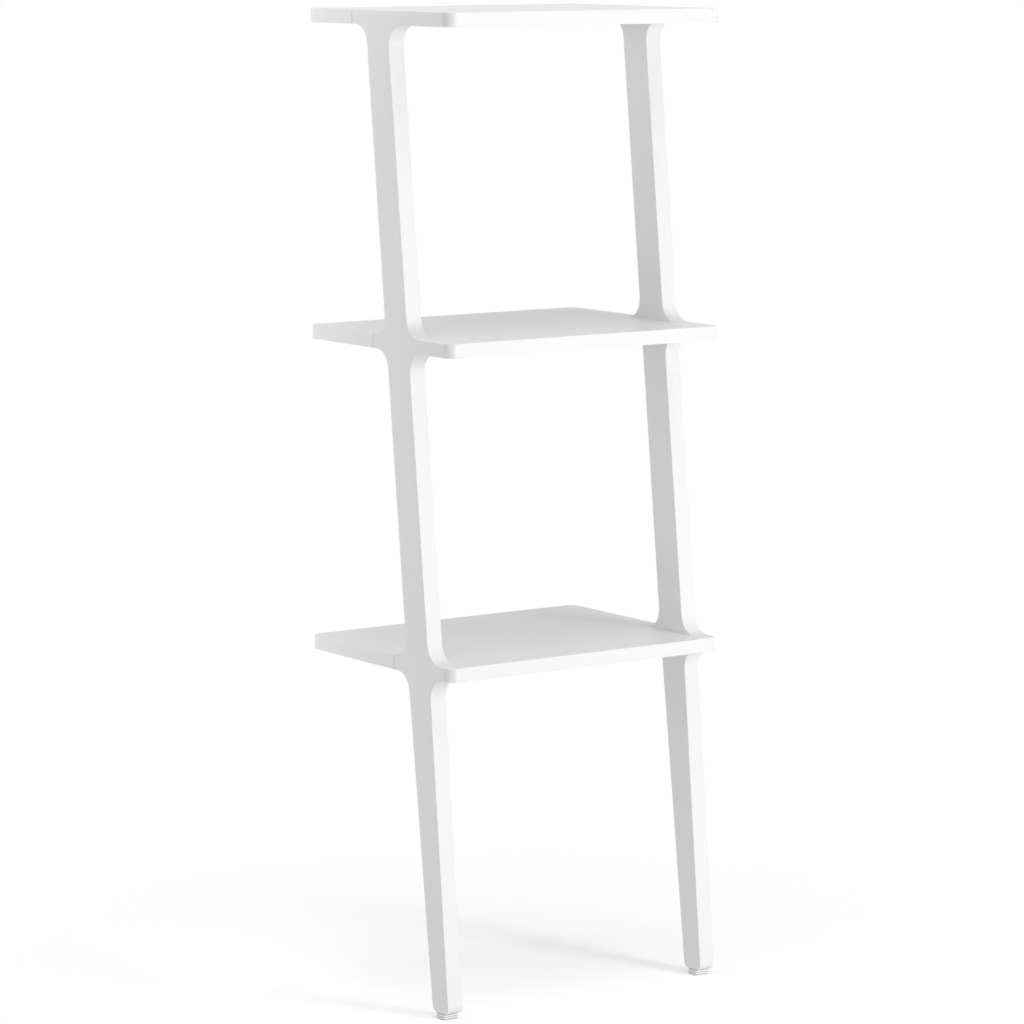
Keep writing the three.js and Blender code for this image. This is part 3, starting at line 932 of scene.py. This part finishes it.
def cross_ring(bm, span, width):
    """The outline of a cross recess, as loose edges about the origin."""
    arm, half = span / 2 * MM, width / 2 * MM
    corners = [Vector((arm, -half, 0)), Vector((arm, half, 0)), Vector((half, half, 0))]
    turns = [Matrix.Rotation(quarter * math.pi / 2, 3, "Z") for quarter in range(4)]
    verts = [bm.verts.new(turn @ corner) for turn in turns for corner in corners]
    return [bm.edges.new(pair) for pair in zip(verts, verts[1:] + verts[:1])]


def recess_head(bm, span, width, depth):
    """Closes the open rim at Z = 0 around a cross recess."""
    rim = [edge for edge in bm.edges if edge.is_boundary]
    cross = cross_ring(bm, span, width)
    bmesh.ops.triangle_fill(bm, use_beauty=True, edges=rim + cross, normal=(0, 0, -1))
    recess_floor = sink(bm, cross, (0, 0, depth * MM))
    bmesh.ops.scale(bm, verts=list(recess_floor.verts), vec=(RECESS_TAPER, RECESS_TAPER, 1.0))
    return bm


def wood_screw(head, head_height, shank, length):
    """A countersunk screw, its head at Z = 0 and its point up, in millimetres. The recess is measured
    in shares of the head's radius and height."""
    thread_end = length - POINT_LENGTH
    profile = [(head - 0.1, 0), (head, 0.1), (head, 0.45), (shank, head_height)]
    profile += thread(shank, head_height + 1.5, thread_end)
    profile += [(shank - 0.35, thread_end), (0, length)]
    return recess_head(turned(profile), head * RECESS_SPAN, head * RECESS_WIDTH,
                       head_height * RECESS_DEPTH)


# %% Screws
GLIDE_SCREW = {"head": 3.5, "head_height": 2.4, "shank": 1.7, "length": 28.0}
PLATE_SCREW = {"head": 2.9, "head_height": 1.5, "shank": 1.4, "length": 16.0}

for side in SIDES:
    node = f"glide_screw_{side}"
    place = Vector((*middle_of(node).xy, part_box(node)[0].z))
    dress(aim(wood_screw(**GLIDE_SCREW), place, (0, 0, 1)), f"{side}_glide_fixing_screw",
          plated_steel, node)
    for end in ("inner", "outer"):
        node = f"plate_screw_{side}_{end}"
        place = Vector((middle_of(node).x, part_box(node)[1].y, middle_of(node).z))
        dress(aim(wood_screw(**PLATE_SCREW), place, (0, -1, 0)), f"{side}_{end}_plate_fixing_screw",
              plated_steel, node)

# %% [markdown]
# ## Keyhole plates
#
# A plate is stamped from steel strip. Its round entry takes the head of the wall screw, and the slot
# above it holds the shank once the shelf has dropped. The outline, the keyhole and the countersinks
# are rings in one plane, filled, drawn out and softened.

# %% Keyhole outline
ENTRY_RADIUS = 4.4 * MM
SLOT_RADIUS = 2.3 * MM
KEY_TRAVEL = 7.0 * MM
ENTRY_STEPS = 24
SLOT_STEPS = 12


def swing(bm, start, centre, angle, steps):
    """Swings a point about an axis along Y and returns the arc's first and last vertices."""
    first = bm.verts.new(start)
    made = bmesh.ops.spin(bm, geom=[first], cent=centre, axis=(0, 1, 0), angle=angle, steps=steps)
    last = next(item for item in made["geom_last"] if isinstance(item, bmesh.types.BMVert))
    return first, last


def keyhole_ring(bm, centre):
    """The keyhole's outline: most of a round entry and the slot that rises from it."""
    entry = centre - Vector((0, 0, KEY_TRAVEL / 2))
    top = centre + Vector((0, 0, KEY_TRAVEL / 2))
    opening = math.asin(SLOT_RADIUS / ENTRY_RADIUS)
    lift = ENTRY_RADIUS * math.cos(opening)
    start = entry + Vector((SLOT_RADIUS, 0, lift))
    before = set(bm.verts)
    entry_first, entry_last = swing(bm, start, entry, 2 * (math.pi - opening), ENTRY_STEPS)
    slot_start = top - Vector((SLOT_RADIUS, 0, 0))
    slot_first, slot_last = swing(bm, slot_start, top, math.pi, SLOT_STEPS)
    bm.edges.new((entry_last, slot_first))
    bm.edges.new((slot_last, entry_first))
    return edges_of(list(set(bm.verts) - before))


# %% Plate
PLATE_SCREW_HOLE = 1.8 * MM
PLATE_SCREW_SINK = 3.1 * MM
RIM_REACH = 1.1 * PLATE_SCREW_HOLE
PLATE_EDGE = 0.15 * MM


def wall_plate(side):
    """One keyhole plate as a mesh."""
    low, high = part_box(f"wall_plate_{side}")
    centre = middle_of(f"wall_plate_{side}")
    centre.y = high.y
    facing = Vector((0, 1, 0))
    radius = (high.z - low.z) / 2
    bm = bmesh.new()
    outline = ring(bm, centre, facing, radius, Vector(((high.x - low.x) / 2 - radius, 0, 0)))
    spots = [middle_of(f"plate_screw_{side}_{place}") for place in ("inner", "outer")]
    spots = [Vector((spot.x, high.y, spot.z)) for spot in spots]
    screw_rings = [ring(bm, spot, facing, PLATE_SCREW_HOLE) for spot in spots]
    holes = [keyhole_ring(bm, centre)] + screw_rings
    edges = outline + [edge for hole in holes for edge in hole]
    filled = bmesh.ops.triangle_fill(bm, use_beauty=True, edges=edges, normal=facing)
    thicken(bm, items(filled, bmesh.types.BMFace), (0, low.y - high.y, 0))
    for spot in spots:
        rim = [v for v in bm.verts
               if abs(v.co.y - high.y) < NEAR and (v.co - spot).length < RIM_REACH]
        bmesh.ops.scale(bm, verts=rim, space=Matrix.Translation(-spot),
                        vec=Vector((1, 1, 1)) * PLATE_SCREW_SINK / PLATE_SCREW_HOLE)
    soften(bm, crisp_edges(bm), PLATE_EDGE, FINE_STEPS)
    return bm


for side in SIDES:
    dress(wall_plate(side), f"{side}_keyhole_plate", plated_steel, f"wall_plate_{side}")

# %% [markdown]
# ## Cam fittings
#
# A cam bolt is screwed into the frame and its head reaches through the joint into the shelf's cam. A
# half turn of the cam, from below, pulls the head in and closes the joint. Between the cam's skins the
# wall is open where the bolt enters, which is a patch of its side drawn inwards.

# %% Bolts
def cam_bolt():
    """A cam bolt in millimetres, its thread at Z = 0 and its head up."""
    profile = [(0, 0), (2.2, 0), *thread(3.2, 0.6, 11.0, pitch=1.6, depth=0.5)]
    profile += [(2.7, 11.0), (3.3, 11.0), (3.3, 36.5), (2.3, 37.5), (2.3, 41.5)]
    profile += [(3.1, 41.8), (3.3, 42.3), (3.3, 44.7), (3.0, 45.2), (2.3, 45.5), (0, 45.5)]
    return turned(profile)


for side, sign in SIDES.items():
    for level in LEVELS:
        node = f"cam_bolt_{level}_{side}"
        low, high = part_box(node)
        outer_x = high.x if sign > 0 else low.x
        place = Vector((outer_x, *middle_of(node).yz))
        dress(aim(cam_bolt(), place, (-sign, 0, 0)), f"{level}_{side}_bolt", plated_steel,
              node)

# %% Cams
MOUTH_HALF_ANGLE = math.radians(32)
MOUTH_DEPTH = 8.0 * MM
MOUTH_ROWS = (6.6, 14.4)
CAM_FACE_RADIUS = 7.0
CAM_RADIUS = 7.5
CAM_HEIGHT = 15.0
CAM_RECESS = (9.0, 1.6, 2.2)
CAM_STEPS = 48


def cam_lock(side):
    """A cam in millimetres about the origin, its slotted face at Z = 0 and its mouth to the joint."""
    lowest, highest = MOUTH_ROWS
    profile = [(CAM_FACE_RADIUS, 0), (CAM_RADIUS, 0.5), (CAM_RADIUS, lowest), (CAM_RADIUS, highest),
               (CAM_FACE_RADIUS, CAM_HEIGHT), (0, CAM_HEIGHT)]
    bm = recess_head(turned(profile, CAM_STEPS), *CAM_RECESS)
    towards = Vector((SIDES[side], 0, 0))
    mouth = []
    for face in bm.faces:
        middle = face.calc_center_median()
        outward = Vector((*middle.xy, 0))
        in_rows = lowest * MM < middle.z < highest * MM and outward.length > CAM_FACE_RADIUS * MM
        if in_rows and outward.angle(towards) < MOUTH_HALF_ANGLE:
            mouth.append(face)
    draw_out(bm, mouth, -towards * MOUTH_DEPTH)
    return bm


for side in SIDES:
    for level in LEVELS:
        node = f"cam_lock_{level}_{side}"
        place = Vector((*middle_of(node).xy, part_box(node)[0].z))
        cam = cam_lock(side)
        bmesh.ops.translate(cam, verts=cam.verts, vec=place)
        dress(cam, f"{level}_{side}_cam", cast_zinc, node)

# %% [markdown]
# ## Dowels
#
# Two beech dowels beside each cam bolt keep the shelf from turning. Their flutes let the glue spread: a
# ring of points with every third one pulled in, drawn out along the dowel, with tapered ends.

# %% Dowels
FLUTES = 18
FLUTE_SCALE = 0.93
CHAMFER = 1.0 * MM


def dowel(radius, length):
    """A fluted dowel about the origin along Z."""
    bm = bmesh.new()
    circle = bmesh.ops.create_circle(bm, cap_ends=True, radius=radius, segments=3 * FLUTES)["verts"]
    bmesh.ops.scale(bm, verts=circle[::3], vec=(FLUTE_SCALE, FLUTE_SCALE, 1.0))
    end_scale = (radius - CHAMFER) / radius
    bmesh.ops.scale(bm, verts=circle, vec=(end_scale, end_scale, 1.0))
    cap = bm.faces[:][0]
    for rise, scale in ((CHAMFER, 1 / end_scale), (length - 2 * CHAMFER, 1.0), (CHAMFER, end_scale)):
        verts, caps = draw_out(bm, [cap], (0, 0, rise))
        bmesh.ops.scale(bm, verts=verts, vec=(scale, scale, 1.0))
        cap = caps[0]
    return bm


for side, sign in SIDES.items():
    for level in LEVELS:
        for end in ("front", "rear"):
            node = f"dowel_{level}_{side}_{end}"
            low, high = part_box(node)
            pin = aim(dowel((high.z - low.z) / 2, high.x - low.x),
                      Vector((low.x, *middle_of(node).yz)), (1, 0, 0))
            dress(pin, f"{level}_{side}_{end}_pin", beech, node)
